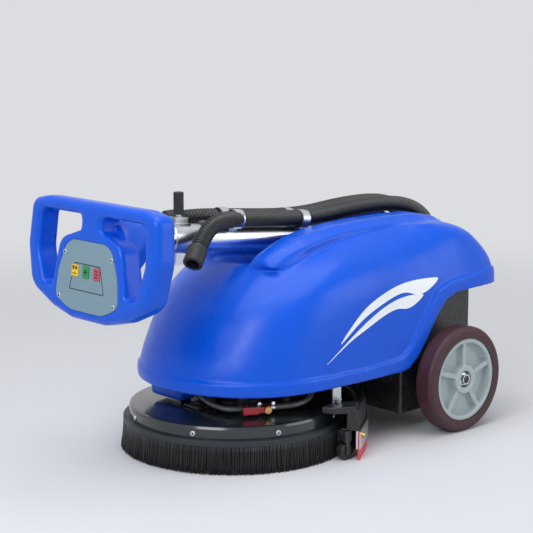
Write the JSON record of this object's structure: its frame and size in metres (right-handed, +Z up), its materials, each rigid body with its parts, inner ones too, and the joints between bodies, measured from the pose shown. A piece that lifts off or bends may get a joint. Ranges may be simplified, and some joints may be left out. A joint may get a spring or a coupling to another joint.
{
  "type": "walk-behind floor scrubber",
  "caption": "Compact walk-behind wet and dry floor scrubber with fold-down handle, round brush deck, curved squeegee, moulded tank hood and rear wheels.",
  "frame": {"origin": "on the floor under the middle of the machine, with the handle folded forward", "axes": "+X from the brush deck towards the wheels, +Y to the operator's right, +Z up"},
  "size_m": [0.8588, 0.4774, 0.4737],
  "materials": {
    "hood_blue": "rotomoulded polyethylene, light orange peel",
    "stripe_white": "cut vinyl film",
    "tyre_maroon": "cast polyurethane",
    "rim_grey": "moulded nylon",
    "steel_black": "powder coat",
    "deck_black": "glossy moulded cover",
    "zinc": "zinc-plated steel",
    "chrome": "polished",
    "tube_steel": "satin stainless tube",
    "rubber_black": "matt rubber",
    "hose_black": "corrugated polyethylene",
    "rubber_red": "squeegee rubber",
    "lever_red": "dipped vinyl",
    "brass": "machined brass",
    "panel_grey": "printed film on plastic",
    "button_yellow": "moulded button",
    "button_green": "moulded button",
    "button_red": "moulded button",
    "bristle_black": "nylon bristle",
    "tank_plastic": "natural polyethylene",
    "battery_plastic": "battery case",
    "feed_hose": "smoked flexible tube",
    "grip_black": "moulded grip"
  },
  "bodies": {
    "chassis": {"axle_nuts": "zinc", "ball_valve": "brass", "batteries": "battery_plastic", "battery_cover": "steel_black", "battery_terminals": "brass", "brush_motor": "steel_black", "chassis_box": "steel_black", "controller": "battery_plastic", "deck_cap": "deck_black", "deck_mounts": "steel_black", "deck_screws": "chrome", "drain_ports": "rubber_black", "feed_hose_deck": "feed_hose", "feed_hose_sump": "feed_hose", "front_subframe": "steel_black", "hose_clamps": "zinc", "pivot_bracket": "zinc", "recovery_tank": "tank_plastic", "side_stripes": "stripe_white", "skirt_band": "steel_black", "skirt_bristles": "bristle_black", "solution_tank": "hood_blue", "stub_axles": "steel_black", "tank_hood": "hood_blue", "vacuum_motor": "battery_plastic"},
    "wheel_left": {"tyre_left": "tyre_maroon", "wheel_core_left": "rim_grey", "wheel_bearings_left": "zinc"},
    "wheel_right": {"tyre_right": "tyre_maroon", "wheel_core_right": "rim_grey", "wheel_bearings_right": "zinc"},
    "brush": {"brush_block": "battery_plastic", "brush_bristles": "bristle_black"},
    "squeegee": {"squeegee_housing": "steel_black", "squeegee_blades": "rubber_red", "blade_straps": "zinc", "thumb_nuts": "brass", "squeegee_hangers": "zinc", "suction_pipe": "battery_plastic", "caster_forks": "steel_black"},
    "caster_left": {"caster_left": "rubber_black"},
    "caster_right": {"caster_right": "rubber_black"},
    "handle": {"handle_tube": "tube_steel", "tube_sleeve": "zinc", "lift_cable": "feed_hose", "handle_head": "hood_blue", "control_panel": "panel_grey", "panel_screws": "zinc", "neck_collar": "rubber_black", "lever_bracket": "zinc", "hose_clips": "chrome", "drain_hose_near": "hose_black", "drain_hose_far": "hose_black", "drain_cuffs": "rubber_black"},
    "lever": {"lift_lever": "zinc", "lever_grip": "grip_black"},
    "valve_lever": {"valve_lever": "lever_red"},
    "button_yellow": {"button_yellow": "button_yellow"},
    "button_green": {"button_green": "button_green"},
    "button_red": {"button_red": "button_red"}
  },
  "joints": [
    {"name": "handle_fold", "type": "hinge", "parent": "chassis", "child": "handle", "pos_m": [0.336, 0, 0.3385], "axis": [0, 1, 0], "range_deg": [0, 125], "deforming": ["drain_hose_near", "drain_hose_far"]},
    {"name": "wheel_left_spin", "type": "hinge", "parent": "chassis", "child": "wheel_left", "pos_m": [0.27, -0.218, 0.1], "axis": [0, 1, 0], "continuous": true},
    {"name": "wheel_right_spin", "type": "hinge", "parent": "chassis", "child": "wheel_right", "pos_m": [0.27, 0.218, 0.1], "axis": [0, 1, 0], "continuous": true},
    {"name": "brush_spin", "type": "hinge", "parent": "chassis", "child": "brush", "pos_m": [-0.0983, 0, 0.04], "axis": [0, 0, 1], "continuous": true},
    {"name": "squeegee_lift", "type": "slide", "parent": "chassis", "child": "squeegee", "axis": [0, 0, 1], "range_m": [0, 0.02]},
    {"name": "caster_left_spin", "type": "hinge", "parent": "squeegee", "child": "caster_left", "pos_m": [-0.026, -0.213, 0.015], "axis": [0, 1, 0], "continuous": true},
    {"name": "caster_right_spin", "type": "hinge", "parent": "squeegee", "child": "caster_right", "pos_m": [-0.026, 0.213, 0.015], "axis": [0, 1, 0], "continuous": true},
    {"name": "lift_lever_tilt", "type": "hinge", "parent": "handle", "child": "lever", "pos_m": [-0.22538, 0, 0.42471], "axis": [0, 1, 0], "range_deg": [0, 40]},
    {"name": "valve_turn", "type": "hinge", "parent": "chassis", "child": "valve_lever", "pos_m": [-0.14057, -0.13636, 0.096], "axis": [0.4695, 0.8829, 0], "range_deg": [0, 90]},
    {"name": "button_yellow_press", "type": "slide", "parent": "handle", "child": "button_yellow", "axis": [0.9956, 0, -0.0941], "range_m": [0, 0.0012], "stiffness_N_per_m": 500},
    {"name": "button_green_press", "type": "slide", "parent": "handle", "child": "button_green", "axis": [0.9956, 0, -0.0941], "range_m": [0, 0.0012], "stiffness_N_per_m": 500},
    {"name": "button_red_press", "type": "slide", "parent": "handle", "child": "button_red", "axis": [0.9956, 0, -0.0941], "range_m": [0, 0.0012], "stiffness_N_per_m": 500}
  ],
  "couplings": [
    {"joint": "lift_lever_tilt", "follows": "squeegee_lift", "rad_per_m": 34.9}
  ]
}
